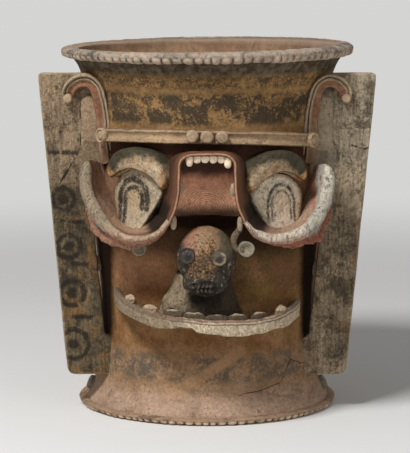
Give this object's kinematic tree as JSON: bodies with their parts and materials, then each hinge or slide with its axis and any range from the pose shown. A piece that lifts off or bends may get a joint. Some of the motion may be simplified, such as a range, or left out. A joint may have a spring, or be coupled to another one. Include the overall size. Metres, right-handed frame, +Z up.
{
  "type": "funerary urn",
  "caption": "Flaring cylindrical clay urn with side flanges, pressed rim and foot bands, and a gaping animal face with a small head in its mouth.",
  "frame": {"origin": "centre of the flat underside, at the floor", "axes": "+Z up through the mouth of the vessel, the animal face looks along -Y, +X is the face's right side as seen by a viewer in front"},
  "size_m": [0.457, 0.4406, 0.5027],
  "materials": {
    "bare_clay": "worn orange-brown fired clay with dark blotches of old paint",
    "foot_clay": "worn pinkish-brown fired clay",
    "neck_soot": "dark grey slip and soot, matte",
    "rim_clay": "pale worn clay, pressed into lobes",
    "cream_slip": "worn cream slip with grey dirt",
    "grey_slip": "mottled grey-cream slip with dark speckle",
    "red_slip": "matte red-brown slip",
    "tooth_slip": "smooth pale cream slip",
    "dark_burnish": "blackened clay, burnished on the eyes"
  },
  "bodies": {
    "root": {"floor_slab": "bare_clay", "foot_skirt": "foot_clay", "body_wall": "bare_clay", "brow_wall": "bare_clay", "neck_collar": "neck_soot", "rim_crust": "rim_clay", "foot_crust": "foot_clay", "headband": "cream_slip", "snout": "red_slip", "palate": "red_slip", "jaw_tray": "bare_clay", "jaw_band": "cream_slip", "small_head": "dark_burnish", "small_head_bust": "grey_slip", "fang_curl_right": "grey_slip", "flange_left": "grey_slip", "flange_right": "grey_slip", "crook_left": "cream_slip", "crook_right": "cream_slip", "crook_tip_left": "cream_slip", "crook_tip_right": "cream_slip", "temple_strip_left": "cream_slip", "temple_strip_right": "cream_slip", "band_end_disc_left": "cream_slip", "band_end_disc_right": "cream_slip", "eyeball_left": "cream_slip", "eyeball_right": "cream_slip", "eyelid_left": "cream_slip", "eyelid_right": "cream_slip", "cheek_left": "cream_slip", "cheek_right": "cream_slip", "small_head_eye_left": "dark_burnish", "small_head_eye_right": "dark_burnish", "flank_pellet_left": "cream_slip", "flank_pellet_right": "cream_slip", "foot_pellet_left": "grey_slip", "foot_pellet_right": "grey_slip", "band_disc_1": "cream_slip", "band_disc_2": "cream_slip", "band_disc_3": "cream_slip", "fang_disc_left": "grey_slip", "fang_disc_right": "grey_slip", "canine_left": "tooth_slip", "incisor_left_outer": "tooth_slip", "incisor_left_inner": "tooth_slip", "incisor_right_inner": "tooth_slip", "incisor_right_outer": "tooth_slip", "canine_right": "tooth_slip", "side_tooth_left": "tooth_slip", "side_tooth_right": "tooth_slip", "molar_left": "tooth_slip", "molar_right": "tooth_slip", "jaw_tooth_1": "grey_slip", "jaw_tooth_2": "grey_slip", "jaw_tooth_3": "grey_slip", "jaw_tooth_4": "grey_slip", "jaw_tooth_5": "grey_slip", "jaw_tooth_6": "grey_slip", "jaw_tooth_7": "grey_slip", "jaw_tooth_8": "grey_slip"}
  },
  "joints": []
}
